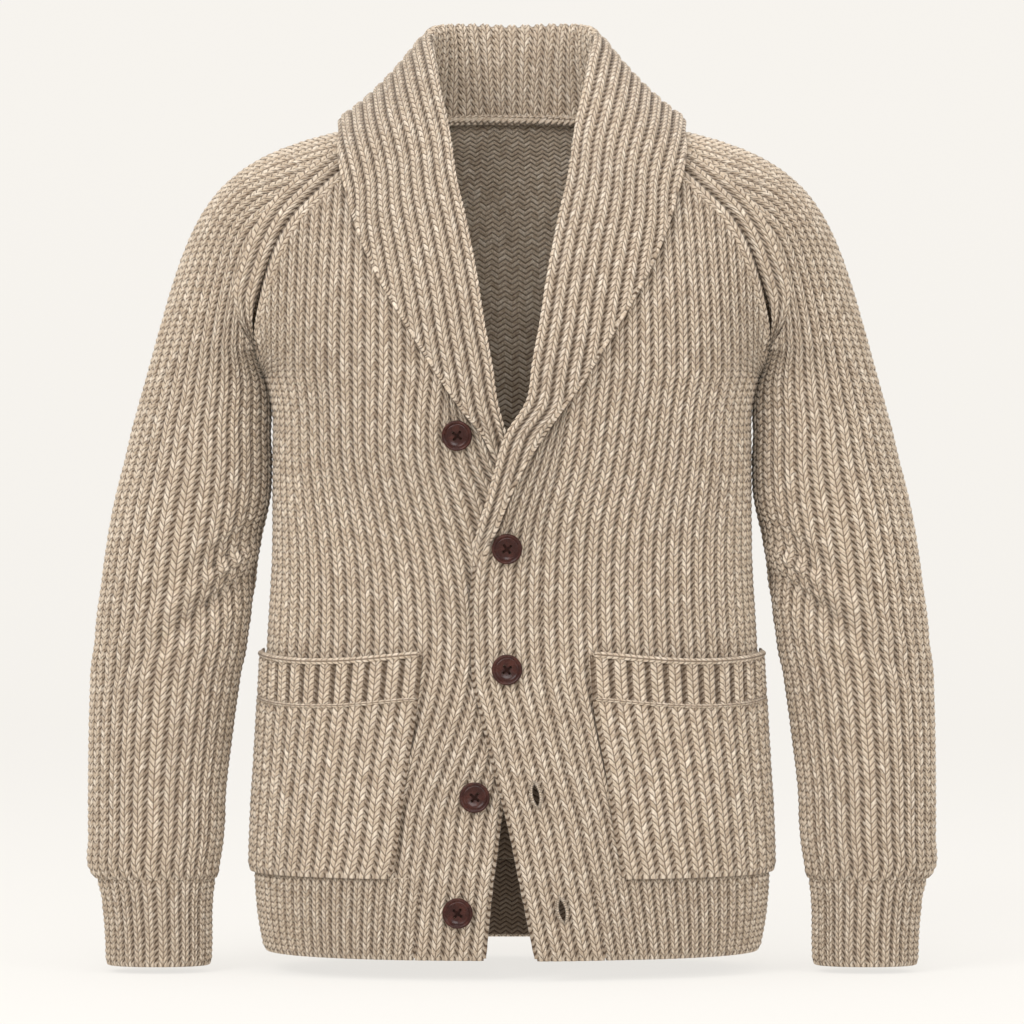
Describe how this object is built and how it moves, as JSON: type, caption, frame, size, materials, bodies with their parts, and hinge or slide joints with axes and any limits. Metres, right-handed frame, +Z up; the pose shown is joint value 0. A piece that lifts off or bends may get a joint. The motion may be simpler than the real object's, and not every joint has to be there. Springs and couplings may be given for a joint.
{
  "type": "shawl collar cardigan",
  "caption": "Chunky ribbed cardigan with a wide folded shawl collar, raglan sleeves, patch pockets, ribbed hem and cuffs and a partly open button front, filled out as worn.",
  "frame": {"origin": "middle of the neck opening, level with the shoulder line, where the wearer's neck and shoulders hold the garment up", "axes": "+Z up, the front faces -Y, +X is the wearer's left"},
  "size_m": [0.7246, 0.2798, 0.8112],
  "materials": {
    "oatmeal_knit": "chunky rib knit, matt, marled oatmeal wool",
    "oatmeal_rib": "close rib knit, matt, marled oatmeal wool",
    "button_brown": "polished dark brown, dished face"
  },
  "bodies": {
    "root": {"back": "oatmeal_knit", "hem_back": "oatmeal_rib", "front_right": "oatmeal_knit", "front_left": "oatmeal_knit", "hem_front_right": "oatmeal_rib", "hem_front_left": "oatmeal_rib", "pocket_right": "oatmeal_knit", "pocket_left": "oatmeal_knit", "pocket_welt_right": "oatmeal_rib", "pocket_welt_left": "oatmeal_rib", "band_right": "oatmeal_rib", "band_left": "oatmeal_rib", "sleeve_right": "oatmeal_knit", "sleeve_left": "oatmeal_knit", "cuff_right": "oatmeal_rib", "cuff_left": "oatmeal_rib", "collar": "oatmeal_rib", "neck_cord": "oatmeal_rib", "button_1": "button_brown", "button_2": "button_brown", "button_3": "button_brown", "button_4": "button_brown", "button_5": "button_brown"}
  },
  "joints": []
}
